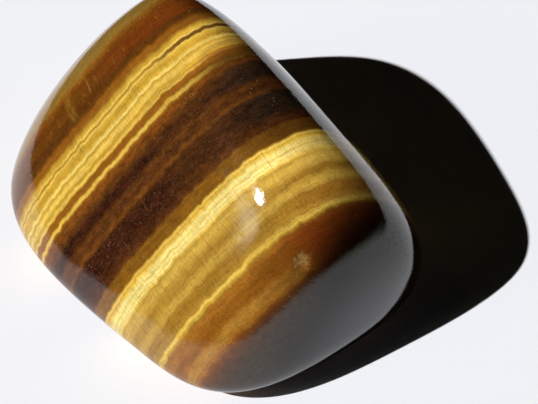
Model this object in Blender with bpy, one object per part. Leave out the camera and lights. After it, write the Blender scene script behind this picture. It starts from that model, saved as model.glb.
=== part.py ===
"""A tumbled tiger's eye stone: one solid of banded quartz, worn to a rounded block.

Frame: metres, +Z up. The stone lies on its flat bed at Z = 0, with the middle of
its box over the origin. X is its longest way, and runs across the bands.
"""

import math

import bmesh
import bpy
from mathutils import Vector, noise

MM = 0.001

# Overall size of the stone
LENGTH = 30.0 * MM
WIDTH = 23.9 * MM
HEIGHT = 19.0 * MM

# The faces that tumbling rounded off. Each is the way it looks round the Z axis, its
# tilt above the horizon, both in degrees, and its distance from the middle of the lump.
WORN_FACES = {
    "bed": (0.0, -90.0, 4.7 * MM),
    "show face": (-87.0, 47.0, 13.5 * MM),
    "blunt end": (-5.0, -5.0, 11.2 * MM),
    "back": (81.0, 27.0, 5.2 * MM),
    "back shoulder": (50.0, 57.0, 9.4 * MM),
    "under back": (58.0, -20.0, 8.8 * MM),
    "far shoulder": (122.0, 31.0, 16.1 * MM),
    "far end": (-179.0, 15.0, 21.3 * MM),
    "under front": (-96.0, -46.0, 18.6 * MM),
}
WEAR = 3.7  # 2 would be worn to an egg, and a high number leaves the faces flat

# How deep the rounded bottom is worn flat, which gives the bed it rests on
BED_DEPTH = 0.15 * MM

# Slow unevenness left by the rough lump, and its distance from crest to crest
SWELL_HEIGHT = 0.06 * MM
SWELL_SPACING = 9.0 * MM

# The shallow bruise on the blunt end, seen from the heart of the stone
BRUISE_TURN = -19.0
BRUISE_TILT = 18.0
BRUISE_WIDTH = 1.5 * MM
BRUISE_DEPTH = 0.08 * MM
HEART_HEIGHT = 0.4 * HEIGHT

GRID_CUTS = 26  # cuts along each edge of the starting cube
BRUISE_REACH = 1.3  # faces within this many bruise widths are cut finer
BRUISE_CUTS = 2

STONE_BROWN = (0.24, 0.115, 0.03, 1.0)
POLISH_ROUGHNESS = 0.14


def facing(turn, tilt):
    """Unit vector that looks `turn` degrees round Z from X and `tilt` degrees up."""
    around, up = math.radians(turn), math.radians(tilt)
    return Vector((math.cos(around) * math.cos(up), math.sin(around) * math.cos(up), math.sin(up)))


FACE_PULLS = [facing(turn, tilt) / reach for turn, tilt, reach in WORN_FACES.values()]


def surface_point(direction):
    """Where a ray from the middle of the lump leaves the worn block."""
    pressed = sum(max(0.0, pull.dot(direction)) ** WEAR for pull in FACE_PULLS)
    return direction * pressed ** (-1.0 / WEAR)


def even_direction(corner):
    """Spreads a cube's grid evenly over the sphere round it."""
    warped = Vector([math.tan(value * math.pi / 4) for value in corner])
    return warped.normalized()


def clear_scene():
    for obj in list(bpy.data.objects):
        bpy.data.objects.remove(obj, do_unlink=True)


def fit_box(verts):
    """Brings the worn block to its stated size, with its lowest point at Z = 0."""
    low = Vector([min(vert.co[axis] for vert in verts) for axis in range(3)])
    high = Vector([max(vert.co[axis] for vert in verts) for axis in range(3)])
    foot = (low + high) / 2
    foot.z = low.z
    size = (LENGTH, WIDTH, HEIGHT + BED_DEPTH)
    for vert in verts:
        for axis in range(3):
            vert.co[axis] = (vert.co[axis] - foot[axis]) * size[axis] / (high[axis] - low[axis])


def swell(mesh):
    """Moves the skin in and out by the slow unevenness of the rough lump."""
    mesh.normal_update()
    for vert in mesh.verts:
        vert.co += vert.normal * noise.noise(vert.co / SWELL_SPACING) * SWELL_HEIGHT


def press_bruise(mesh):
    """Sinks a smooth shallow hollow where a chip was worn over."""
    heart = Vector((0, 0, HEART_HEIGHT))
    way = facing(BRUISE_TURN, BRUISE_TILT)
    centre = max(mesh.verts, key=lambda vert: (vert.co - heart).normalized().dot(way)).co.copy()
    reach = BRUISE_WIDTH * BRUISE_REACH
    near = [face for face in mesh.faces if (face.calc_center_median() - centre).length < reach]
    edges = list({edge for face in near for edge in face.edges})
    bmesh.ops.subdivide_edges(mesh, edges=edges, cuts=BRUISE_CUTS, use_grid_fill=True)
    mesh.normal_update()
    for vert in mesh.verts:
        out = (vert.co - centre).length / (BRUISE_WIDTH / 2)
        if out < 1.0:
            vert.co -= vert.normal * BRUISE_DEPTH * (1 - out * out) ** 2


def wear_bed(mesh):
    """Cuts the bottom flat, so that the stone rests on a real face."""
    cut = bmesh.ops.bisect_plane(
        mesh,
        geom=mesh.verts[:] + mesh.edges[:] + mesh.faces[:],
        plane_co=(0, 0, BED_DEPTH),
        plane_no=(0, 0, -1),
        clear_outer=True,
    )
    rim = [item for item in cut["geom_cut"] if isinstance(item, bmesh.types.BMEdge)]
    bmesh.ops.edgeloop_fill(mesh, edges=rim)
    bmesh.ops.translate(mesh, verts=mesh.verts, vec=(0, 0, -BED_DEPTH))


def stone_material():
    material = bpy.data.materials.new("banded quartz")
    material.use_nodes = True
    shader = material.node_tree.nodes["Principled BSDF"]
    shader.inputs["Base Color"].default_value = STONE_BROWN
    shader.inputs["Roughness"].default_value = POLISH_ROUGHNESS
    shader.inputs["Metallic"].default_value = 0.0
    return material


def make_stone():
    mesh = bmesh.new()
    bmesh.ops.create_cube(mesh, size=2.0)
    bmesh.ops.subdivide_edges(mesh, edges=mesh.edges[:], cuts=GRID_CUTS, use_grid_fill=True)
    for vert in mesh.verts:
        vert.co = surface_point(even_direction(vert.co))
    fit_box(mesh.verts)
    swell(mesh)
    press_bruise(mesh)
    wear_bed(mesh)
    bmesh.ops.triangulate(mesh, faces=mesh.faces[:])
    bmesh.ops.recalc_face_normals(mesh, faces=mesh.faces[:])
    data = bpy.data.meshes.new("tiger_eye_stone")
    mesh.to_mesh(data)
    mesh.free()
    data.shade_smooth()
    data.materials.append(stone_material())
    return bpy.data.objects.new("tiger_eye_stone", data)


def main():
    clear_scene()
    collection = bpy.data.collections.new("tumbled tiger's eye")
    bpy.context.scene.collection.children.link(collection)
    collection.objects.link(make_stone())


main()
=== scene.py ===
"""Looks of a tumbled tiger's eye stone: its polished, pitted skin and its silky bands.

The stone's skin is grown by Geometry Nodes from the same rule as the solid it stands
for. Its bands are flat layers of the rock, so they run right through the stone and
come out in the right place on every side.
"""

import math

import bpy
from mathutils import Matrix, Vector


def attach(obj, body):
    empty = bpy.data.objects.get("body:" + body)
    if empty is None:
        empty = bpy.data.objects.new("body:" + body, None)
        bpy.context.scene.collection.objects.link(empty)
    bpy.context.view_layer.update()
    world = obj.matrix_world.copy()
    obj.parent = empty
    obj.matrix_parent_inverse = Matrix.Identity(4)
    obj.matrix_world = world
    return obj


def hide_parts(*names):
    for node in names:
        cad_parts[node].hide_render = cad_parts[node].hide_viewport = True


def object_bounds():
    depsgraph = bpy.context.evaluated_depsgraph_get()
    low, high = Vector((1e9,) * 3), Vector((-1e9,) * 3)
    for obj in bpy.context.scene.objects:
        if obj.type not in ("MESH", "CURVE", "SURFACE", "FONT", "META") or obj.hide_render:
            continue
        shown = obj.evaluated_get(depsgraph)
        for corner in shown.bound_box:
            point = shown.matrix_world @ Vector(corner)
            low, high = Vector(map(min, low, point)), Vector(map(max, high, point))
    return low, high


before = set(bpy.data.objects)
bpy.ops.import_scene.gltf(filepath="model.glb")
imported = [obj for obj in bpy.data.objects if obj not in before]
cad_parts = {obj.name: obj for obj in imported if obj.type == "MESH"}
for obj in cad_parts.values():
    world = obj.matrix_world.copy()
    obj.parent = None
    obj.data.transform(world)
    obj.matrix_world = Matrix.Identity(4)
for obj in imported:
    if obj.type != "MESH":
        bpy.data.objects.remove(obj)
cad_low, cad_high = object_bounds()

MM = 0.001
BODY = "root"
NODE = "tiger_eye_stone"

# ---------------------------------------------------------------- the stone's form
# Faces that tumbling rounded off: turn round Z and tilt in degrees, reach in mm
WORN_FACES = {
    "bed": (0.0, -90.0, 4.7),
    "show face": (-87.0, 47.0, 13.5),
    "blunt end": (-5.0, -5.0, 11.2),
    "back": (81.0, 27.0, 5.2),
    "back shoulder": (50.0, 57.0, 9.4),
    "under back": (58.0, -20.0, 8.8),
    "far shoulder": (122.0, 31.0, 16.1),
    "far end": (-179.0, 15.0, 21.3),
    "under front": (-96.0, -46.0, 18.6),
}
WEAR = 3.7
BED_DEPTH = 0.15 * MM
SWELL_HEIGHT = 0.06 * MM
SWELL_SPACING = 9.0 * MM
BRUISE_PLACE = Vector((12.25, -4.1, 11.95)) * MM
BRUISE_WIDTH = 1.5 * MM
BRUISE_DEPTH = 0.08 * MM
# Distances from the bruise's middle, in bruise widths
CRUSHED = (0.1, 0.45)  # where the crushed quartz starts to fade, and is gone
UNPOLISHED = (0.45, 0.65)  # where the polish comes back, and is whole
RAGGED_EDGE = 1.1 * MM
PIT_SPREAD = 22000.0  # pits to a square metre
PIT_SMALLEST, PIT_LARGEST = 0.25 * MM, 0.5 * MM
PIT_DEPTH = 0.018 * MM
PIT_SEED = 11
SKIN_DIVISIONS = 124  # 184,512 triangles, about 0.16 mm across each

# ---------------------------------------------------------------- the bands
# The layers' normal and the face that shows them, as turns and tilts in degrees
LAYER_TURN, LAYER_TILT = -15.7, -8.6
SHOW_TURN, SHOW_TILT = WORN_FACES["show face"][:2]

# The fibres lean from the layers' normal: shares across the layers, along them and into them
FIBRE_WAY = (0.9, 0.35, -0.25)
# The blunt end, which faces away from the key light, is darkened where the skin faces the fibres' way:
# dull end grain, and painted shade.
END_ON = (0.34, 0.8)  # how squarely the skin cuts the fibres where they start and end darkening
END_AND_SHADE_LIGHT = 0.04  # the share of light left there: dull end grain and painted shade together

# Colours of dry quartz fibre by how much iron stains it
IRON = {
    "smoke": "#181410",
    "umber": "#301408",
    "bark": "#381a08",
    "walnut": "#48240c",
    "chestnut": "#502c0c",
    "russet": "#5c340c",
    "fox": "#68380c",
    "toffee": "#6c4610",
    "caramel": "#7c4c14",
    "rust": "#8c5a1c",
    "tan": "#986c28",
    "amber": "#8a6420",
    "ochre": "#947028",
    "honey": "#a48028",
    "gold": "#b08c30",
    "brass": "#c09c40",
    "sand": "#a48234",
    "pale gold": "#b08e3c",
    "straw": "#c8a850",
    "butter": "#ccb868",
    "cream": "#d0c078",
    "olive": "#846428",
    "pale olive": "#907444",
    "ash": "#88745c",
    "oxblood": "#6c2c0c",
}

# The layers from the far end to the blunt end: place across them in mm, and colour.
# Between two places the colour blends from one to the next.
RIM_LAYERS = [
    (-15.0, "pale olive"),
    (-12.0, "pale olive"),
    (-11.0, "olive"),
    (-10.5, "olive"),
    (-10.0, "caramel"),
    (-9.6, "fox"),
    (-9.2, "russet"),
    (-8.4, "russet"),
    (-8.0, "chestnut"),
    (-7.5, "chestnut"),
    (-7.3, "russet"),
    (-7.05, "caramel"),
    (-6.7, "caramel"),
    (-6.5, "amber"),
]
FAR_GOLD = [
    (-6.5, "amber"),
    (-6.35, "honey"),
    (-6.15, "gold"),
    (-6.05, "straw"),
    (-5.95, "brass"),
    (-5.85, "amber"),
    (-5.75, "gold"),
    (-5.65, "straw"),
    (-5.5, "gold"),
    (-5.25, "honey"),
    (-5.0, "gold"),
    (-4.9, "brass"),
    (-4.8, "butter"),
    (-4.7, "straw"),
    (-4.6, "honey"),
    (-4.4, "brass"),
    (-4.25, "straw"),
    (-4.1, "brass"),
    (-3.95, "honey"),
    (-3.8, "gold"),
    (-3.65, "straw"),
    (-3.55, "gold"),
    (-3.45, "caramel"),
    (-3.1, "caramel"),
    (-3.0, "amber"),
]
BROWN_LAYERS = [
    (-3.0, "amber"),
    (-2.9, "brass"),
    (-2.75, "brass"),
    (-2.6, "caramel"),
    (-2.4, "fox"),
    (-2.2, "fox"),
    (-1.8, "chestnut"),
    (-1.3, "umber"),
    (-0.9, "umber"),
    (-0.5, "chestnut"),
    (-0.1, "walnut"),
    (0.15, "chestnut"),
    (0.3, "russet"),
    (0.45, "chestnut"),
    (0.6, "bark"),
    (1.0, "umber"),
    (1.7, "umber"),
    (2.3, "bark"),
    (2.8, "walnut"),
    (3.0, "toffee"),
    (3.8, "toffee"),
    (3.9, "amber"),
]
NEAR_GOLD = [
    (3.9, "amber"),
    (4.0, "brass"),
    (4.05, "straw"),
    (4.1, "brass"),
    (4.2, "gold"),
    (4.3, "brass"),
    (4.4, "straw"),
    (4.5, "butter"),
    (4.65, "cream"),
    (4.75, "butter"),
    (4.85, "straw"),
    (4.95, "cream"),
    (5.05, "cream"),
    (5.15, "straw"),
    (5.25, "cream"),
    (5.35, "straw"),
    (5.45, "brass"),
    (5.55, "sand"),
    (5.95, "pale gold"),
    (6.3, "sand"),
    (6.6, "ochre"),
    (7.0, "ochre"),
    (7.3, "sand"),
    (7.6, "sand"),
    (7.9, "amber"),
    (8.4, "amber"),
    (8.7, "ochre"),
    (8.85, "ochre"),
]
BLUNT_LAYERS = [
    (8.85, "ochre"),
    (8.95, "brass"),
    (9.05, "straw"),
    (9.2, "gold"),
    (9.4, "amber"),
    (9.55, "rust"),
    (9.9, "rust"),
    (10.3, "caramel"),
    (10.7, "caramel"),
    (10.9, "rust"),
    (11.1, "tan"),
    (11.4, "tan"),
    (11.7, "rust"),
    (11.95, "fox"),
    (12.3, "walnut"),
    (12.9, "umber"),
    (13.5, "smoke"),
    (15.5, "smoke"),
]
ALL_LAYERS = (RIM_LAYERS, FAR_GOLD, BROWN_LAYERS, NEAR_GOLD, BLUNT_LAYERS)

# Layers that another stain takes over towards the back: the stain, where it starts and ends
# across the layers, from where to where along them it comes in, in mm, and how far it goes
RUN_OUTS = [
    ("oxblood", -9.4, -7.9, 2.0, 8.0, 0.5),
    ("walnut", -5.98, -5.64, 7.0, 11.0, 0.85),
    ("toffee", -5.2, -4.95, 10.5, 13.0, 0.4),
    ("ochre", -5.1, -4.0, 8.0, 11.0, 0.35),
    ("fox", -4.35, -4.0, 10.5, 13.0, 0.4),
    ("fox", -3.85, -3.4, 9.5, 12.5, 0.8),
    ("walnut", -3.6, -3.1, 11.0, 13.0, 0.5),
    ("caramel", -3.8, -3.6, 4.0, 8.0, 0.4),
    ("amber", -3.05, -2.7, 4.5, 7.5, 0.3),
    ("chestnut", -3.1, -2.4, 9.0, 12.8, 0.9),
    ("chestnut", -1.6, -0.7, 3.5, 6.5, 0.35),
    ("smoke", -2.3, -0.7, 9.5, 13.0, 0.75),
    ("umber", -0.7, 0.4, 10.0, 13.0, 0.4),
    ("toffee", 0.6, 2.8, 3.0, 6.0, 0.1),
    ("smoke", 0.4, 2.2, 9.5, 13.0, 0.75),
    ("umber", 2.2, 3.9, 9.0, 13.0, 0.5),
    ("gold", 4.0, 5.5, 11.0, 13.5, 0.5),
    ("toffee", 6.5, 6.95, 9.0, 13.0, 0.45),
    ("caramel", 7.8, 8.75, 9.5, 13.0, 0.5),
    ("ochre", 8.9, 9.1, 5.0, 8.0, 0.5),
    ("russet", 9.7, 11.5, 3.5, 7.0, 0.6),
    ("oxblood", 9.4, 13.0, 7.0, 10.0, 0.8),
]
PAINTED_BACK_SHEEN = 0.4  # painted sheen: how much brighter the gold layers' silk is painted towards the back

QUARTZ_IOR = 1.54
SILK_ROUGHNESS = 0.38
POLISH_ROUGHNESS = 0.045
RELIEF_HEIGHT = 0.0025 * MM

# Where each kind of layer lies, from and to across the layers in mm
FAR_BROWN = (-10.6, -7.3)
VEILED = (-10.9, -7.6)
FAR_SILK = (-6.6, -3.3)
DARK_MIDDLE = (-2.5, 3.8)
NEAR_SILK = (3.95, 9.2)
PARTED = (3.9, 9.0)
RUSTY = (9.4, 12.6)
DUSTY = (9.2, 14.0)
VEIL_ALONG = (0.8, 1.5)  # where the pale veil lies along the layers

# Spacing of each kind of grain in mm: across the layers, along them, and into them
STREAKS = (0.13, 3.0, 3.0)
FIBRES = (0.8, 0.1, 0.14)
WEAVE = (0.17, 0.07, 0.09)
CLOUDS = (0.45, 1.1, 1.1)
BLOTCHES = (0.4, 0.9, 0.9)
REDNESS = (1.4, 3.0, 3.0)
SCUFFS = (0.5, 0.4, 0.4)
WISPS = (0.6, 0.3, 0.5)
DASHES = (1.1, 0.34, 0.6)
ARCHES = (2.5, 5.0, 5.0)
ARCH_HEIGHT = 0.35
PARTING_SPACING = 0.42
FELT_SPACING = 0.14

LARGE_SPECKS = (0.7, 0.7, 0.7)
SMALL_SPECKS = (0.24, 0.24, 0.24)
DUST = (0.09, 0.09, 0.09)
SPECK_PATCHES = (2.0, 2.0, 2.0)

# How strongly each kind of grain marks the colour
STREAK_AMOUNT = 0.5
FIBRE_AMOUNT = 0.42
MORE_IN_FAR_BROWN = 0.22  # added to the fibres' amount there
WEAVE_AMOUNT = 0.26
CLOUD_AMOUNT = 0.3
PARTING_AMOUNT = 0.3
REDNESS_AMOUNT = 0.4
REDDER = (1.05, 0.9, 0.75)  # what a redder stain does to red, green and blue

# The pale foot of the blunt end, scuffed and with painted light from the lit paper in front, looks this
# way: turn and tilt in degrees
SCUFF_AND_PAPER_LIGHT_WAY = (-50.0, 5.0)
SCUFF_AND_PAPER_LIGHT_AMOUNT = 0.22

# Clusters of bright specks in the dark middle: places across the layers and along them, reach
SPECK_CLUSTERS = [
    (-2.6, 9.2, 1.3),
    (0.0, 12.5, 0.5),
    (1.4, -2.0, 1.0),
    (2.4, 0.0, 0.6),
]

# Slow folds: where they start and end along the layers, and how far they push them, in mm
FOLDS = [(2.5, 6.5, 0.2), (7.5, 9.5, -0.15)]
FOLD_FROM, FOLD_TO = -7.0, 5.0  # across the layers, where folds are full and nearly gone
FOLD_LEFT = 0.15
# Small bends in the layers: spacing across, along and into them, and height, all in mm
WAVES, WAVE_HEIGHT = (9.0, 1.9, 2.6), 0.1
CUSPS, CUSP_HEIGHT = (7.0, 1.0, 1.6), 0.22
RIPPLES, RIPPLE_HEIGHT = (2.2, 0.36, 0.7), 0.06
USUAL_CUSP = 0.05  # how far the cusps push the layers on the whole

# Hair cracks across the layers, in mm: place along them, start and end across them, darkness
CRACKS = [
    (0.3, -7.2, -5.2, 0.6),
    (-0.45, 3.2, 6.6, 0.35),
    (2.9, 3.8, 7.2, 0.35),
    (4.1, 4.0, 6.9, 0.3),
    (-2.6, 3.9, 8.8, 0.3),
    (6.2, -6.4, -4.5, 0.3),
    (8.0, 3.9, 7.4, 0.25),
    (-3.9, -6.6, -2.5, 0.25),
    (11.0, 4.1, 8.6, 0.3),
]
# Cracks healed with pale quartz, the same way
HEALED_CRACKS = [
    (2.0, 0.7, 1.7, 0.14),
    (-0.9, 1.3, 2.6, 0.12),
    (2.4, 10.3, 12.1, 0.18),
    (3.2, -9.9, -8.3, 0.5),
    (4.0, -9.2, -8.3, 0.15),
    (5.9, -9.1, -8.1, 0.15),
    (-0.4, -9.2, -8.2, 0.15),
]
# How far to each side of its middle a crack still shows, and how it strays, in mm
CRACK_REACH = 0.055
HEALED_REACH = 0.1
CRACK_STRAYS, CRACK_STRAY = (1.6, 6.0, 2.0), 0.22
PARTING_STRAYS, PARTING_STRAY = (1.1, 4.0, 3.0), 0.12


def linear(hex_colour):
    """sRGB hex to the linear colour that shaders use."""
    parts = [int(hex_colour[i : i + 2], 16) / 255 for i in (1, 3, 5)]
    return tuple(p / 12.92 if p <= 0.04045 else ((p + 0.055) / 1.055) ** 2.4 for p in parts) + (1.0,)


def facing(turn, tilt):
    """Unit vector that looks `turn` degrees round Z from X and `tilt` degrees up."""
    around, up = math.radians(turn), math.radians(tilt)
    return Vector((math.cos(around) * math.cos(up), math.sin(around) * math.cos(up), math.sin(up)))


def add(tree, kind, links=None, out=0, **settings):
    """Adds a node with its settings, feeds its inputs, and returns one of its outputs."""
    node = tree.nodes.new(kind)
    for name, value in settings.items():
        setattr(node, name, value)
    for socket, source in (links or {}).items():
        if isinstance(source, bpy.types.NodeSocket):
            tree.links.new(source, node.inputs[socket])
        else:
            node.inputs[socket].default_value = source
    return node.outputs[out]


def dotted(tree, value, way):
    """How far a value reaches along a direction."""
    return add(tree, "ShaderNodeVectorMath", {0: value, 1: way}, out="Value", operation="DOT_PRODUCT")


def distance(tree, value, place):
    return add(tree, "ShaderNodeVectorMath", {0: value, 1: place}, out="Value", operation="DISTANCE")


def unsigned(tree, value):
    return add(tree, "ShaderNodeMath", {0: value}, operation="ABSOLUTE")


# ---------------------------------------------------------------- growing the skin
def skin_inputs(tree):
    """The named sizes that the skin is grown from."""
    named = (
        ("Length", "NodeSocketFloat"),
        ("Width", "NodeSocketFloat"),
        ("Height", "NodeSocketFloat"),
        ("Bed depth", "NodeSocketFloat"),
        ("Wear", "NodeSocketFloat"),
        ("Swell height", "NodeSocketFloat"),
        ("Swell spacing", "NodeSocketFloat"),
        ("Bruise place", "NodeSocketVector"),
        ("Bruise width", "NodeSocketFloat"),
        ("Bruise depth", "NodeSocketFloat"),
        ("Pit spread", "NodeSocketFloat"),
        ("Smallest pit", "NodeSocketFloat"),
        ("Largest pit", "NodeSocketFloat"),
        ("Pit depth", "NodeSocketFloat"),
        ("Pit seed", "NodeSocketInt"),
        ("Divisions", "NodeSocketInt"),
        ("Stone", "NodeSocketMaterial"),
    )
    for name, kind in named:
        tree.interface.new_socket(name, in_out="INPUT", socket_type=kind)
    tree.interface.new_socket("Skin", in_out="OUTPUT", socket_type="NodeSocketGeometry")
    return tree.nodes.new("NodeGroupInput").outputs


def worn_block(tree, given):
    """A gridded cube pressed into the worn block, at the size of the middle lump in mm."""
    rows = add(tree, "ShaderNodeMath", {0: given["Divisions"], 1: 1.0}, operation="ADD")
    lump = add(
        tree,
        "GeometryNodeMeshCube",
        {"Size": (2, 2, 2), "Vertices X": rows, "Vertices Y": rows, "Vertices Z": rows},
    )
    corner = add(tree, "GeometryNodeInputPosition")
    quarter = add(tree, "ShaderNodeVectorMath", {0: corner, "Scale": math.pi / 4}, operation="SCALE")
    spread = add(tree, "ShaderNodeVectorMath", {0: quarter}, operation="TANGENT")
    way = add(tree, "ShaderNodeVectorMath", {0: spread}, operation="NORMALIZE")
    pressed = None
    for turn, tilt, reach in WORN_FACES.values():
        pull = tuple(facing(turn, tilt) / reach)
        push = add(tree, "ShaderNodeMath", {0: dotted(tree, way, pull), 1: 0.0}, operation="MAXIMUM")
        push = add(tree, "ShaderNodeMath", {0: push, 1: given["Wear"]}, operation="POWER")
        pressed = push if pressed is None else add(tree, "ShaderNodeMath", {0: pressed, 1: push})
    root = add(tree, "ShaderNodeMath", {0: -1.0, 1: given["Wear"]}, operation="DIVIDE")
    far = add(tree, "ShaderNodeMath", {0: pressed, 1: root}, operation="POWER")
    place = add(tree, "ShaderNodeVectorMath", {0: way, "Scale": far}, operation="SCALE")
    return add(tree, "GeometryNodeSetPosition", {"Geometry": lump, "Position": place})


def fit_box(tree, given, block):
    """Brings the block to its stated size, with its lowest point a bed's depth under Z = 0."""
    box = add(tree, "GeometryNodeBoundBox", {0: block}, out="Min")
    low, high = box, box.node.outputs["Max"]
    span = add(tree, "ShaderNodeVectorMath", {0: high, 1: low}, operation="SUBTRACT")
    tall = add(tree, "ShaderNodeMath", {0: given["Height"], 1: given["Bed depth"]}, operation="ADD")
    size = add(tree, "ShaderNodeCombineXYZ", {0: given["Length"], 1: given["Width"], 2: tall})
    sunk = add(tree, "ShaderNodeMath", {0: given["Bed depth"], 1: -1.0}, operation="MULTIPLY")
    corner = add(tree, "ShaderNodeVectorMath", {0: size, 1: (-0.5, -0.5, 0.0)}, operation="MULTIPLY")
    base = add(tree, "ShaderNodeCombineXYZ", {2: sunk})
    corner = add(tree, "ShaderNodeVectorMath", {0: corner, 1: base}, operation="ADD")
    here = add(tree, "GeometryNodeInputPosition")
    share = add(tree, "ShaderNodeVectorMath", {0: here, 1: low}, operation="SUBTRACT")
    share = add(tree, "ShaderNodeVectorMath", {0: share, 1: span}, operation="DIVIDE")
    place = add(tree, "ShaderNodeVectorMath", {0: share, 1: size, 2: corner}, operation="MULTIPLY_ADD")
    return add(tree, "GeometryNodeSetPosition", {"Geometry": block, "Position": place})


def swell(tree, given, block):
    """Moves the skin in and out by the slow unevenness of the rough lump."""
    here = add(tree, "GeometryNodeInputPosition")
    out = add(tree, "GeometryNodeInputNormal")
    per = add(tree, "ShaderNodeMath", {0: 1.0, 1: given["Swell spacing"]}, operation="DIVIDE")
    wave = add(tree, "ShaderNodeTexNoise", {"Vector": here, "Scale": per, "Detail": 1.0})
    wave = add(tree, "ShaderNodeMath", {0: wave, 1: 0.5}, operation="SUBTRACT")
    lift = add(tree, "ShaderNodeMath", {0: wave, 1: given["Swell height"]}, operation="MULTIPLY")
    move = add(tree, "ShaderNodeVectorMath", {0: out, "Scale": lift}, operation="SCALE")
    return add(tree, "GeometryNodeSetPosition", {"Geometry": block, "Offset": move})


def sink(tree, block, out, width, depth):
    """Presses a smooth hollow into the skin, by how far out from its middle each point is."""
    half = add(tree, "ShaderNodeMath", {0: width, 1: 0.5}, operation="MULTIPLY")
    share = add(tree, "ShaderNodeMath", {0: out, 1: half}, operation="DIVIDE")
    share = add(tree, "ShaderNodeMath", {0: share, 1: 1.0}, operation="MINIMUM")
    bowl = add(tree, "ShaderNodeMath", {0: share, 1: share}, operation="MULTIPLY")
    bowl = add(tree, "ShaderNodeMath", {0: 1.0, 1: bowl}, operation="SUBTRACT")
    bowl = add(tree, "ShaderNodeMath", {0: bowl, 1: 2.0}, operation="POWER")
    drop = add(tree, "ShaderNodeMath", {0: bowl, 1: depth}, operation="MULTIPLY")
    drop = add(tree, "ShaderNodeMath", {0: drop, 1: -1.0}, operation="MULTIPLY")
    normal = add(tree, "GeometryNodeInputNormal")
    move = add(tree, "ShaderNodeVectorMath", {0: normal, "Scale": drop}, operation="SCALE")
    return add(tree, "GeometryNodeSetPosition", {"Geometry": block, "Offset": move})


def bruise(tree, given, block):
    """The shallow hollow on the blunt end, where a chip was worn over."""
    here = add(tree, "GeometryNodeInputPosition")
    gap = distance(tree, here, given["Bruise place"])
    return sink(tree, block, gap, given["Bruise width"], given["Bruise depth"])


def polish_pits(tree, given, block):
    """Scattered shallow pits that the polish ran into and rounded."""
    spots = add(
        tree,
        "GeometryNodeDistributePointsOnFaces",
        {"Mesh": block, "Density": given["Pit spread"], "Seed": given["Pit seed"]},
    )
    gap = add(tree, "GeometryNodeProximity", {0: spots}, out="Distance", target_element="POINTS")
    nearest = add(tree, "GeometryNodeSampleNearest", {"Geometry": spots})
    width = add(
        tree,
        "FunctionNodeRandomValue",
        {2: given["Smallest pit"], 3: given["Largest pit"], "ID": nearest, "Seed": given["Pit seed"]},
        out=1,
    )
    return sink(tree, block, gap, width, given["Pit depth"])


def rest_on_bed(tree, block):
    """Flattens everything under Z = 0 onto the bed."""
    here = add(tree, "GeometryNodeInputPosition")
    parts = add(tree, "ShaderNodeSeparateXYZ", {0: here}, out="X")
    above = add(tree, "ShaderNodeMath", {0: parts.node.outputs["Z"], 1: 0.0}, operation="MAXIMUM")
    place = add(tree, "ShaderNodeCombineXYZ", {0: parts, 1: parts.node.outputs["Y"], 2: above})
    return add(tree, "GeometryNodeSetPosition", {"Geometry": block, "Position": place})


def polished_skin_tree():
    tree = bpy.data.node_groups.new("polished skin", "GeometryNodeTree")
    given = skin_inputs(tree)
    block = fit_box(tree, given, worn_block(tree, given))
    block = swell(tree, given, block)
    block = bruise(tree, given, block)
    block = polish_pits(tree, given, block)
    block = rest_on_bed(tree, block)
    smooth = add(tree, "GeometryNodeSetShadeSmooth", {"Geometry": block})
    real = add(tree, "GeometryNodeRealizeInstances", {"Geometry": smooth})
    dressed = add(tree, "GeometryNodeSetMaterial", {"Geometry": real, "Material": given["Stone"]})
    end = tree.nodes.new("NodeGroupOutput")
    tree.links.new(dressed, end.inputs["Skin"])
    return tree


def grow(name, tree, **sizes):
    """Runs a tree with its named inputs and keeps the result as a plain mesh object."""
    seed_mesh = bpy.data.meshes.new(name)
    obj = bpy.data.objects.new(name, seed_mesh)
    bpy.context.scene.collection.objects.link(obj)
    modifier = obj.modifiers.new("grow", "NODES")
    modifier.node_group = tree
    for item in tree.interface.items_tree:
        if item.in_out == "INPUT" and item.name in sizes:
            modifier[item.identifier] = sizes[item.name]
    depsgraph = bpy.context.evaluated_depsgraph_get()
    plain = bpy.data.meshes.new_from_object(obj.evaluated_get(depsgraph))
    obj.modifiers.clear()
    obj.data = plain
    bpy.data.meshes.remove(seed_mesh)
    plain.name = name
    return obj


# ---------------------------------------------------------------- the stone's finish
def rock_ways():
    """The rock's own axes: across its layers, along them, and into them."""
    across = facing(LAYER_TURN, LAYER_TILT)
    along = facing(SHOW_TURN, SHOW_TILT).cross(across).normalized()
    return across, along, across.cross(along)


def rock_place(tree):
    """Place in the rock in mm: across the layers, along them, and into them."""
    here = add(tree, "ShaderNodeTexCoord", out="Object")
    parts = [dotted(tree, here, tuple(way / MM)) for way in rock_ways()]
    return add(tree, "ShaderNodeCombineXYZ", dict(enumerate(parts)))


def part_of(tree, place, axis):
    return add(tree, "ShaderNodeSeparateXYZ", {0: place}, out=axis)


def grain(tree, place, spacing, detail=2.0, roughness=0.5, shift=0.0):
    """Noise from -1 to 1 with its own spacing in mm across, along and into the layers."""
    per = tuple(1 / step for step in spacing)
    moved = (shift, shift * 0.7, shift * 1.3)
    stretched = add(
        tree, "ShaderNodeVectorMath", {0: place, 1: per, 2: moved}, operation="MULTIPLY_ADD"
    )
    noise = add(
        tree,
        "ShaderNodeTexNoise",
        {"Vector": stretched, "Scale": 1.0, "Detail": detail, "Roughness": roughness},
    )
    return add(tree, "ShaderNodeMath", {0: noise, 1: 2.0, 2: -1.0}, operation="MULTIPLY_ADD")


def rise(tree, value, start, end, low=0.0, high=1.0):
    """Eases from `low` to `high` as the value goes from `start` to `end`."""
    return add(
        tree,
        "ShaderNodeMapRange",
        {0: value, 1: start, 2: end, 3: low, 4: high},
        interpolation_type="SMOOTHSTEP",
    )


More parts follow.
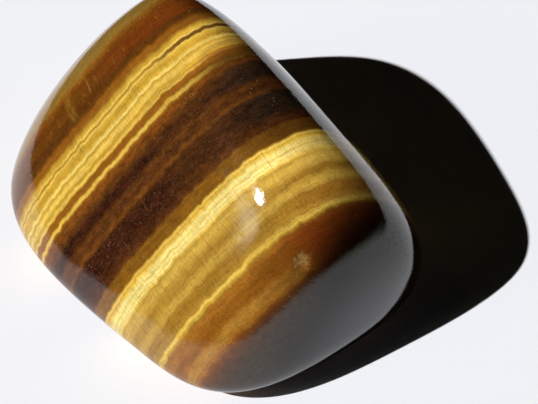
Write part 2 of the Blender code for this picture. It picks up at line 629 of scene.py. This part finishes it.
def between(tree, value, start, end, soft):
    """1 from `start` to `end` and 0 outside them, with soft ends."""
    up = rise(tree, value, start - soft, start + soft)
    down = rise(tree, value, end - soft, end + soft, 1.0, 0.0)
    return add(tree, "ShaderNodeMath", {0: up, 1: down}, operation="MULTIPLY")


def scaled(tree, value, amount):
    return add(tree, "ShaderNodeMath", {0: value, 1: amount}, operation="MULTIPLY")


def summed(tree, values):
    total = values[0]
    for value in values[1:]:
        total = add(tree, "ShaderNodeMath", {0: total, 1: value})
    return total


def brighten(tree, colour, amount):
    """The colour times one plus the amount."""
    more = add(tree, "ShaderNodeMath", {0: amount, 1: 1.0})
    return add(tree, "ShaderNodeVectorMath", {0: colour, "Scale": more}, operation="SCALE")


def stained(tree, colour, stain, amount):
    """The colour covered by another one, by an amount from 0 to 1."""
    return add(
        tree, "ShaderNodeMix", {0: amount, 6: colour, 7: stain}, out=2, data_type="RGBA"
    )


def waved(tree, place):
    """The place with its layers bent by slow folds and the small waves that run through them."""
    across, along = part_of(tree, place, "X"), part_of(tree, place, "Y")
    folds = [rise(tree, along, start, end, 0.0, push) for start, end, push in FOLDS]
    ease = rise(tree, across, FOLD_FROM, FOLD_TO, 1.0, FOLD_LEFT)
    fold = scaled(tree, summed(tree, folds), ease)
    wave = scaled(tree, grain(tree, place, WAVES, detail=1.0, shift=7.0), WAVE_HEIGHT)
    cusp = unsigned(tree, grain(tree, place, CUSPS, detail=0.0))
    cusp = scaled(tree, cusp, CUSP_HEIGHT)
    ripple = scaled(tree, grain(tree, place, RIPPLES, detail=1.0, shift=3.0), RIPPLE_HEIGHT)
    bent = summed(tree, [across, fold, wave, cusp, ripple])
    # cusps push one way only, so about their usual push is taken back
    bent = add(tree, "ShaderNodeMath", {0: bent, 1: USUAL_CUSP}, operation="SUBTRACT")
    return add(tree, "ShaderNodeCombineXYZ", {0: bent, 1: along, 2: part_of(tree, place, "Z")})


def end_grain_and_painted_shade(tree):
    """Light that the fibres give back: all of it from their sides, and little from their ends. Only the
    blunt end, which faces away from the key light, is darkened, so this is partly painted shade.
    """
    across, along, into = rock_ways()
    fibre = Vector((0, 0, 0))
    for way, share in zip((across, along, into), FIBRE_WAY):
        fibre += way * share
    skin = add(tree, "ShaderNodeTexCoord", out="Normal")
    square_on = dotted(tree, skin, tuple(fibre.normalized()))
    return rise(tree, square_on, *END_ON, 1.0, END_AND_SHADE_LIGHT)


def layer_ramp(tree, across, layers):
    """Colours of one run of layers."""
    start, end = layers[0][0], layers[-1][0]
    share = add(tree, "ShaderNodeMapRange", {0: across, 1: start, 2: end})
    ramp = add(tree, "ShaderNodeValToRGB", {0: share}).node
    stops = ramp.color_ramp.elements
    while len(stops) < len(layers):
        stops.new(1.0)
    for stop, (edge, name) in zip(stops, layers):
        stop.position = (edge - start) / (end - start)
        stop.color = linear(IRON[name])
    return ramp.outputs["Color"]


def layer_colour(tree, across):
    """Colours of all the layers, each run of them laid after the one before."""
    colour = layer_ramp(tree, across, ALL_LAYERS[0])
    for layers in ALL_LAYERS[1:]:
        past = add(tree, "ShaderNodeMath", {0: across, 1: layers[0][0]}, operation="GREATER_THAN")
        colour = stained(tree, colour, layer_ramp(tree, across, layers), past)
    return colour


def crack_lines(tree, place, cracks, reach):
    """How strongly hair cracks mark the stone, from 0 to 1."""
    across, along = part_of(tree, place, "X"), part_of(tree, place, "Y")
    drift = scaled(tree, grain(tree, place, CRACK_STRAYS, detail=3.0, shift=5.0), CRACK_STRAY)
    along = add(tree, "ShaderNodeMath", {0: along, 1: drift})
    patchy = grain(tree, place, (0.9, 3.0, 1.2), detail=2.0, shift=9.0)
    patchy = rise(tree, patchy, -0.5, 0.25, 0.25, 1.0)
    lines = []
    for middle, start, end, strength in cracks:
        gap = add(tree, "ShaderNodeMath", {0: along, 1: middle}, operation="SUBTRACT")
        gap = unsigned(tree, gap)
        line = rise(tree, gap, 0.0, reach, strength, 0.0)
        lines.append(scaled(tree, line, between(tree, across, start, end, 0.3)))
    return scaled(tree, summed(tree, lines), patchy)


def parting_lines(tree, place):
    """The many faint partings that cross the broad gold band."""
    across, along = part_of(tree, place, "X"), part_of(tree, place, "Y")
    drift = grain(tree, place, PARTING_STRAYS, detail=2.0, shift=21.0)
    drift = scaled(tree, drift, PARTING_STRAY)
    along = add(tree, "ShaderNodeMath", {0: along, 1: drift})
    gap = add(
        tree,
        "ShaderNodeTexVoronoi",
        {"W": along, "Scale": 1 / PARTING_SPACING},
        out="Distance",
        voronoi_dimensions="1D",
        feature="DISTANCE_TO_EDGE",
    )
    line = rise(tree, gap, 0.0, 0.12, 1.0, 0.0)
    patchy = rise(tree, grain(tree, place, (0.5, 0.6, 0.6), detail=2.0, shift=2.0), -0.15, 0.35)
    line = scaled(tree, line, patchy)
    return scaled(tree, line, between(tree, across, *PARTED, 0.2))


def specks(tree, place, spacing, size, share, shift):
    """Sparse specks: their spacing each way in mm, their size against it, and the share kept."""
    per = tuple(1 / step for step in spacing)
    spread = add(
        tree, "ShaderNodeVectorMath", {0: place, 1: per, 2: (shift,) * 3}, operation="MULTIPLY_ADD"
    )
    spot = add(tree, "ShaderNodeTexVoronoi", {"Vector": spread, "Scale": 1.0}, out="Distance")
    near = rise(tree, spot, 0.3 * size, size, 1.0, 0.0)
    chance = part_of(tree, spot.node.outputs["Color"], "X")
    kept = add(tree, "ShaderNodeMath", {0: chance, 1: share}, operation="LESS_THAN")
    return scaled(tree, near, kept)


def near_place(tree, across, along, middle_across, middle_along, reach):
    """1 at a place in the layers, and 0 from its reach outward, in mm."""
    here = add(tree, "ShaderNodeCombineXYZ", {0: across, 1: along})
    middle = (middle_across, middle_along, 0.0)
    gap = distance(tree, here, middle)
    return rise(tree, gap, 0.3 * reach, reach, 1.0, 0.0)


def felt(tree, place):
    """Fine matted fibres that show where the quartz is dark, from -1 to 1."""
    spread = add(tree, "ShaderNodeVectorMath", {0: place, "Scale": 1 / FELT_SPACING}, operation="SCALE")
    noise = add(
        tree,
        "ShaderNodeTexNoise",
        {"Vector": spread, "Scale": 1.0, "Detail": 3.0, "Roughness": 0.65, "Distortion": 1.6},
    )
    return add(tree, "ShaderNodeMath", {0: noise, 1: 2.0, 2: -1.0}, operation="MULTIPLY_ADD")


def arched_place(tree, place, bent):
    """The place as the fibres lie, which arch a little as they cross the layers."""
    arch = scaled(tree, grain(tree, place, ARCHES, detail=1.0, shift=12.0), ARCH_HEIGHT)
    along = add(tree, "ShaderNodeMath", {0: part_of(tree, bent, "Y"), 1: arch})
    across, into = part_of(tree, bent, "X"), part_of(tree, bent, "Z")
    return add(tree, "ShaderNodeCombineXYZ", {0: across, 1: along, 2: into})


def run_out(tree, colour, across, along):
    """Some layers run out into a neighbour towards the back, and the dark middle deepens."""
    for stain, start, end, comes_in, is_full, amount in RUN_OUTS:
        back = rise(tree, along, comes_in, is_full, 0.0, amount)
        layer = between(tree, across, start, end, 0.2 * min(end - start, 1.0))
        colour = stained(tree, colour, linear(IRON[stain]), scaled(tree, back, layer))
    return colour


def silky(tree, colour, bent, arched, streaks, fibres):
    """Fine silk: streaks along the layers, and fibres that show most in the far brown ones."""
    weave = grain(tree, arched, WEAVE, detail=2.0, roughness=0.6, shift=51.0)
    cloud = grain(tree, bent, CLOUDS, detail=4.0, roughness=0.6, shift=15.0)
    brown = between(tree, part_of(tree, bent, "X"), *FAR_BROWN, 0.3)
    shown = {0: brown, 1: MORE_IN_FAR_BROWN, 2: FIBRE_AMOUNT}
    shown = add(tree, "ShaderNodeMath", shown, operation="MULTIPLY_ADD")
    silk = summed(
        tree,
        [
            scaled(tree, streaks, STREAK_AMOUNT),
            scaled(tree, fibres, shown),
            scaled(tree, weave, WEAVE_AMOUNT),
            scaled(tree, cloud, CLOUD_AMOUNT),
        ],
    )
    return brighten(tree, colour, silk)


def blotched(tree, colour, bent, dark_middle):
    """The dark middle is mottled, and the rust layers are stained in patches."""
    across = part_of(tree, bent, "X")
    blotches = grain(tree, bent, BLOTCHES, detail=5.0, roughness=0.72, shift=43.0)
    strength = rise(tree, across, 2.6, 3.3, 1.4, 0.6)
    mottles = scaled(tree, scaled(tree, blotches, dark_middle), strength)
    colour = brighten(tree, colour, mottles)
    patches = rise(tree, blotches, -0.1, 0.5, 0.0, 0.55)
    patches = scaled(tree, patches, between(tree, across, *RUSTY, 0.3))
    return stained(tree, colour, linear(IRON["fox"]), patches)


def painted_back_sheen(tree, colour, across, along):
    """The gold layers are painted brighter towards the back: a painted sheen of their silk."""
    far_silk = between(tree, across, *FAR_SILK, 0.15)
    near_silk = between(tree, across, *NEAR_SILK, 0.15)
    gold = add(tree, "ShaderNodeMath", {0: far_silk, 1: near_silk})
    sheen = scaled(tree, gold, rise(tree, along, 8.0, 12.0, 0.0, PAINTED_BACK_SHEEN))
    return brighten(tree, colour, sheen)


def unevenly_red(tree, colour, bent):
    """The iron stain is redder in some places than in others."""
    rust = rise(tree, grain(tree, bent, REDNESS, detail=2.0, shift=31.0), -0.1, 0.6)
    rusty = add(tree, "ShaderNodeVectorMath", {0: colour, 1: REDDER}, operation="MULTIPLY")
    return stained(tree, colour, rusty, scaled(tree, rust, REDNESS_AMOUNT))


def scuffs_and_paper_light(tree, colour, arched, across):
    """Fine scuffs, and painted light from the lit paper in front, leave the stone a little pale at the
    foot of its blunt end.
    """
    skin = add(tree, "ShaderNodeTexCoord", out="Normal")
    low_front = dotted(tree, skin, tuple(facing(*SCUFF_AND_PAPER_LIGHT_WAY)))
    foot = rise(tree, low_front, 0.8, 0.98, 0.0, SCUFF_AND_PAPER_LIGHT_AMOUNT)
    foot = scaled(tree, foot, rise(tree, across, 11.3, 13.3))
    scuffs = grain(tree, arched, SCUFFS, detail=4.0, roughness=0.7, shift=81.0)
    scuffs = rise(tree, scuffs, -0.5, 0.5, 0.5, 1.0)
    return stained(tree, colour, linear(IRON["ash"]), scaled(tree, foot, scuffs))


def cracked(tree, colour, place):
    """Cracks, dark where they are open and pale where quartz healed them."""
    cracks = crack_lines(tree, place, CRACKS, CRACK_REACH)
    partings = scaled(tree, parting_lines(tree, place), PARTING_AMOUNT)
    colour = stained(tree, colour, linear(IRON["umber"]), summed(tree, [cracks, partings]))
    healed = crack_lines(tree, place, HEALED_CRACKS, HEALED_REACH)
    return stained(tree, colour, linear(IRON["pale olive"]), healed)


def veiled(tree, colour, arched, across):
    """A pale veil of quartz through the outer brown layers, and short pale dashes in them."""
    veil = between(tree, part_of(tree, arched, "Y"), *VEIL_ALONG, 0.25)
    veil = scaled(tree, veil, between(tree, across, *VEILED, 0.3))
    wisps = grain(tree, arched, WISPS, detail=3.0, shift=8.0)
    wisps = rise(tree, wisps, -0.4, 0.5, 0.1, 0.6)
    colour = stained(tree, colour, linear(IRON["amber"]), scaled(tree, veil, wisps))
    dashes = specks(tree, arched, DASHES, 0.24, 0.35, 19.0)
    dashes = scaled(tree, dashes, between(tree, across, *FAR_BROWN, 0.3))
    return stained(tree, colour, linear(IRON["amber"]), scaled(tree, dashes, 0.5))


def matted(tree, colour, place, bent, dark_middle):
    """Matted fibres, pale in the dark middle and dusty at the blunt end."""
    fibres = felt(tree, place)
    pale = scaled(tree, rise(tree, fibres, 0.1, 0.6, 0.0, 0.5), dark_middle)
    pale = scaled(tree, pale, rise(tree, part_of(tree, bent, "Y"), 9.5, 12.0, 1.0, 0.4))
    colour = stained(tree, colour, linear(IRON["ash"]), pale)
    dusty = scaled(tree, fibres, between(tree, part_of(tree, bent, "X"), *DUSTY, 0.2))
    return brighten(tree, colour, scaled(tree, dusty, 0.3))


def specked(tree, colour, place, bent, dark_middle):
    """Pale specks: a few large ones, many in patches of the dark middle, dust and clusters."""
    across, along = part_of(tree, bent, "X"), part_of(tree, bent, "Y")
    few = scaled(tree, specks(tree, place, LARGE_SPECKS, 0.09, 0.3, 3.0), 0.5)
    many = specks(tree, place, SMALL_SPECKS, 0.28, 0.3, 17.0)
    patches = rise(tree, grain(tree, place, SPECK_PATCHES, detail=3.0, shift=6.0), 0.05, 0.45)
    many = scaled(tree, scaled(tree, many, dark_middle), scaled(tree, patches, 0.55))
    dust = grain(tree, place, DUST, detail=1.0, shift=61.0)
    dust = rise(tree, dust, 0.0, 0.8, 0.0, 0.06)
    clusters = summed(tree, [near_place(tree, across, along, *one) for one in SPECK_CLUSTERS])
    bright = specks(tree, place, SMALL_SPECKS, 0.26, 0.6, 33.0)
    bright = scaled(tree, scaled(tree, clusters, bright), 0.85)
    return stained(tree, colour, linear(IRON["ash"]), summed(tree, [few, many, dust, bright]))


def from_bruise(tree):
    """Distance from the middle of the bruise, in metres."""
    here = add(tree, "ShaderNodeTexCoord", out="Object")
    return distance(tree, here, tuple(BRUISE_PLACE))


def bruised(tree, colour, place):
    """Crushed quartz shows pale in the bruise, with a ragged edge."""
    ragged = grain(tree, place, (0.3, 0.3, 0.3), detail=4.0, roughness=0.75, shift=2.0)
    gap = add(tree, "ShaderNodeMath", {0: from_bruise(tree), 1: scaled(tree, ragged, RAGGED_EDGE)})
    fades = [share * BRUISE_WIDTH for share in CRUSHED]
    crushed = rise(tree, gap, *fades, 1.0, 0.0)
    return stained(tree, colour, linear(IRON["pale olive"]), scaled(tree, crushed, 0.6))


def polish(tree, place, along):
    """How much of the polish is left: none in the bruise, and less in the fine pits."""
    comes_back = [share * BRUISE_WIDTH for share in UNPOLISHED]
    unpolished = rise(tree, from_bruise(tree), *comes_back, -1.0, 0.0)
    pitted = specks(tree, place, (0.2, 0.2, 0.2), 0.35, 0.45, 71.0)
    pitted = scaled(tree, pitted, rise(tree, along, 9.0, 13.0, 0.15, 0.7))
    left = summed(tree, [unpolished, scaled(tree, pitted, -1.0)])
    return rise(tree, left, -1.0, 0.0)


def fine_relief(tree, place, bent):
    """Harder layers stand a hair proud of the softer ones, and the polish left fine pits."""
    relief = summed(
        tree,
        [
            scaled(tree, grain(tree, bent, (0.5, 3.0, 3.0), detail=2.0, shift=1.0), 0.3),
            scaled(tree, grain(tree, place, (0.6, 0.12, 0.12), detail=2.0, shift=6.0), 0.9),
            scaled(tree, grain(tree, place, (1.6, 0.6, 0.6), detail=2.0, shift=2.0), 1.5),
            scaled(tree, specks(tree, place, (0.45, 0.45, 0.45), 0.27, 0.35, 29.0), -0.7),
            scaled(tree, specks(tree, place, (0.16, 0.16, 0.16), 0.4, 0.5, 41.0), -0.35),
        ],
    )
    lift = {"Strength": 1.0, "Distance": RELIEF_HEIGHT, "Height": relief}
    return add(tree, "ShaderNodeBump", lift, out="Normal")


def banded_quartz():
    """Tiger's eye, which is quartz grown in place of fine fibres, tumbled to a glassy polish.

    The fibres cross the layers, leaning a little. They give each layer a silky glow under
    the clear gloss of the polish, and a layer is golden or brown by how much iron it holds.
    """
    material = bpy.data.materials.new("tumbled tiger's eye")
    material.use_nodes = True
    tree = material.node_tree
    shader = tree.nodes["Principled BSDF"]
    place = rock_place(tree)
    bent = waved(tree, place)
    arched = arched_place(tree, place, bent)
    across, along = part_of(tree, bent, "X"), part_of(tree, bent, "Y")
    dark_middle = between(tree, across, *DARK_MIDDLE, 0.3)
    streaks = grain(tree, bent, STREAKS, detail=4.0, roughness=0.7, shift=1.0)
    fibres = grain(tree, arched, FIBRES, detail=3.0, roughness=0.65, shift=4.0)

    colour = run_out(tree, layer_colour(tree, across), across, along)
    colour = silky(tree, colour, bent, arched, streaks, fibres)
    colour = blotched(tree, colour, bent, dark_middle)
    # painted sheen: the gold layers brighter towards the back
    colour = painted_back_sheen(tree, colour, across, along)
    colour = unevenly_red(tree, colour, bent)
    # the blunt end darkened: dull end grain and painted shade
    colour = add(tree, "ShaderNodeVectorMath", {0: colour, "Scale": end_grain_and_painted_shade(tree)}, operation="SCALE")
    # scuffs and painted light from the paper pale the blunt end's foot
    colour = scuffs_and_paper_light(tree, colour, arched, across)
    colour = cracked(tree, colour, place)
    colour = veiled(tree, colour, arched, across)
    colour = matted(tree, colour, place, bent, dark_middle)
    colour = specked(tree, colour, place, bent, dark_middle)
    colour = bruised(tree, colour, place)
    tree.links.new(colour, shader.inputs["Base Color"])

    # under the polish the silk shines broadly, a little rougher here and there
    dull = summed(tree, [scaled(tree, streaks, 0.08), scaled(tree, fibres, 0.06)])
    silk_roughness = add(tree, "ShaderNodeMath", {0: dull, 1: SILK_ROUGHNESS})
    tree.links.new(silk_roughness, shader.inputs["Roughness"])
    shader.inputs["IOR"].default_value = QUARTZ_IOR
    shader.inputs["Specular IOR Level"].default_value = 0.0
    tree.links.new(polish(tree, place, along), shader.inputs["Coat Weight"])
    shader.inputs["Coat Roughness"].default_value = POLISH_ROUGHNESS
    shader.inputs["Coat IOR"].default_value = QUARTZ_IOR
    bump = fine_relief(tree, place, bent)
    tree.links.new(bump, shader.inputs["Normal"])
    tree.links.new(bump, shader.inputs["Coat Normal"])
    return material


# ---------------------------------------------------------------- floor, light and camera
SUN_TURN, SUN_TILT = 256.9, 43.9
GLOW_TURN, GLOW_TILT = -104.0, 30.0
GLOW_REACH = 10.5  # degrees from its middle to its edge
GLOW_STRENGTH = 3.8
TABLE_TURN = -5.0
TABLE_SLOPE = -0.05  # its far edge stands a little higher to the back than to the front
TABLE_STRENGTH = 0.84
TABLE_SIDES = (65.0, 40.0)  # degrees to each side where its light comes in, and is full
TABLE_DEPTHS = (-12.5, -3.0)  # degrees from level where its light is full, and is gone
TABLE_FRONT = 0.35  # how much more it is lit to the front, and less to the back
KEY_STRENGTH = 4.7
KEY_SPREAD = 0.65  # degrees across
ROOM_STRENGTH = 0.002
BACKDROP_STRENGTH = 0.91
ROOM_TINT = "#f6fff2"
BACKDROP_TINT = "#fafbff"
PAPER = "#eaebf0"
PAPER_ROUGHNESS = 0.9
CAMERA_TURN, CAMERA_TILT = -45.2, 48.8
CAMERA_DISTANCE = 251.0 * MM
CAMERA_AIM = (-0.30 * MM, 5.47 * MM, 0.0)
FRAME_WIDTH = 38.61 * MM  # how much of the aim's plane the picture's width takes in
SENSOR_WIDTH = 36.0
FARTHEST_SEEN = 100.0
# The paper's outline in mm: its near left corner is cut out, which shows in the polish as a dark patch
# standing in for shade on the paper there
SHEET_CORNERS = [
    (-14.0, -25.0),
    (-14.0, -250.0),
    (63.0, -250.0),
    (63.0, 260.0),
    (-35.0, 260.0),
    (-35.0, -25.0),
]


def pale_floor():
    mesh = bpy.data.meshes.new("floor")
    corners = [(x * MM, y * MM, 0.0) for x, y in SHEET_CORNERS]
    mesh.from_pydata(corners, [], [range(len(corners))])
    floor = bpy.data.objects.new("floor", mesh)
    bpy.context.scene.collection.objects.link(floor)
    material = bpy.data.materials.new("matt white paper")
    material.use_nodes = True
    shader = material.node_tree.nodes["Principled BSDF"]
    shader.inputs["Base Color"].default_value = linear(PAPER)
    shader.inputs["Roughness"].default_value = PAPER_ROUGHNESS
    mesh.materials.append(material)


def soft_glow(tree):
    """A small soft light under the key light, which lays a haze in the polish."""
    way = add(tree, "ShaderNodeTexCoord", out="Generated")
    near = dotted(tree, way, tuple(facing(GLOW_TURN, GLOW_TILT)))
    near = rise(tree, near, math.cos(math.radians(GLOW_REACH)), 1.0)
    near = add(tree, "ShaderNodeMath", {0: near, 1: 2.0}, operation="POWER")
    return scaled(tree, near, GLOW_STRENGTH)


def lit_table(tree):
    """The lit table beyond the paper on the blunt end's side, which fades out at the horizon."""
    way = add(tree, "ShaderNodeTexCoord", out="Generated")
    sides = [math.cos(math.radians(turn)) for turn in TABLE_SIDES]
    depths = [math.sin(math.radians(tilt)) for tilt in TABLE_DEPTHS]
    side = rise(tree, dotted(tree, way, tuple(facing(TABLE_TURN, 0.0))), *sides)
    slope = scaled(tree, part_of(tree, way, "Y"), TABLE_SLOPE)
    height = add(tree, "ShaderNodeMath", {0: part_of(tree, way, "Z"), 1: slope})
    low = rise(tree, height, *depths, TABLE_STRENGTH, 0.0)
    front = {0: part_of(tree, way, "Y"), 1: -TABLE_FRONT, 2: 1.0}
    front = add(tree, "ShaderNodeMath", front, operation="MULTIPLY_ADD")
    return scaled(tree, scaled(tree, low, side), front)


def studio_light():
    lamp = bpy.data.lights.new("key", "SUN")
    lamp.energy = KEY_STRENGTH
    lamp.angle = math.radians(KEY_SPREAD)
    key = bpy.data.objects.new("key", lamp)
    key.rotation_mode = "QUATERNION"
    key.rotation_quaternion = facing(SUN_TURN, SUN_TILT).to_track_quat("Z", "Y")
    bpy.context.scene.collection.objects.link(key)
    world = bpy.data.worlds.new("dim studio")
    world.use_nodes = True
    tree = world.node_tree
    seen = add(tree, "ShaderNodeLightPath", out="Is Camera Ray")
    studio = summed(tree, [soft_glow(tree), lit_table(tree)])
    studio = add(tree, "ShaderNodeMath", {0: studio, 1: ROOM_STRENGTH})
    strength = add(tree, "ShaderNodeMapRange", {0: seen, 3: studio, 4: BACKDROP_STRENGTH})
    colour = stained(tree, linear(ROOM_TINT), linear(BACKDROP_TINT), seen)
    background = tree.nodes["Background"]
    tree.links.new(strength, background.inputs["Strength"])
    tree.links.new(colour, background.inputs["Color"])
    bpy.context.scene.world = world


def camera():
    data = bpy.data.cameras.new("camera")
    data.sensor_width = SENSOR_WIDTH
    data.lens = SENSOR_WIDTH * CAMERA_DISTANCE / FRAME_WIDTH
    data.clip_start = CAMERA_DISTANCE / 100
    data.clip_end = FARTHEST_SEEN
    eye = bpy.data.objects.new("camera", data)
    back = facing(CAMERA_TURN, CAMERA_TILT)
    eye.location = Vector(CAMERA_AIM) + back * CAMERA_DISTANCE
    eye.rotation_mode = "QUATERNION"
    eye.rotation_quaternion = (-back).to_track_quat("-Z", "Y")
    bpy.context.scene.collection.objects.link(eye)
    bpy.context.scene.camera = eye


def main():
    size = cad_high - cad_low
    stone = grow(
        "polished_stone",
        polished_skin_tree(),
        Length=size.x,
        Width=size.y,
        Height=size.z,
        **{"Bed depth": BED_DEPTH, "Swell height": SWELL_HEIGHT, "Swell spacing": SWELL_SPACING},
        Wear=WEAR,
        Divisions=SKIN_DIVISIONS,
        Stone=banded_quartz(),
        **{
            "Bruise place": BRUISE_PLACE,
            "Bruise width": BRUISE_WIDTH,
            "Bruise depth": BRUISE_DEPTH,
            "Pit spread": PIT_SPREAD,
            "Smallest pit": PIT_SMALLEST,
            "Largest pit": PIT_LARGEST,
            "Pit depth": PIT_DEPTH,
            "Pit seed": PIT_SEED,
        },
    )
    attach(stone, BODY)
    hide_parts(NODE)
    pale_floor()
    studio_light()
    camera()
    bpy.context.scene.view_settings.view_transform = "Standard"


main()
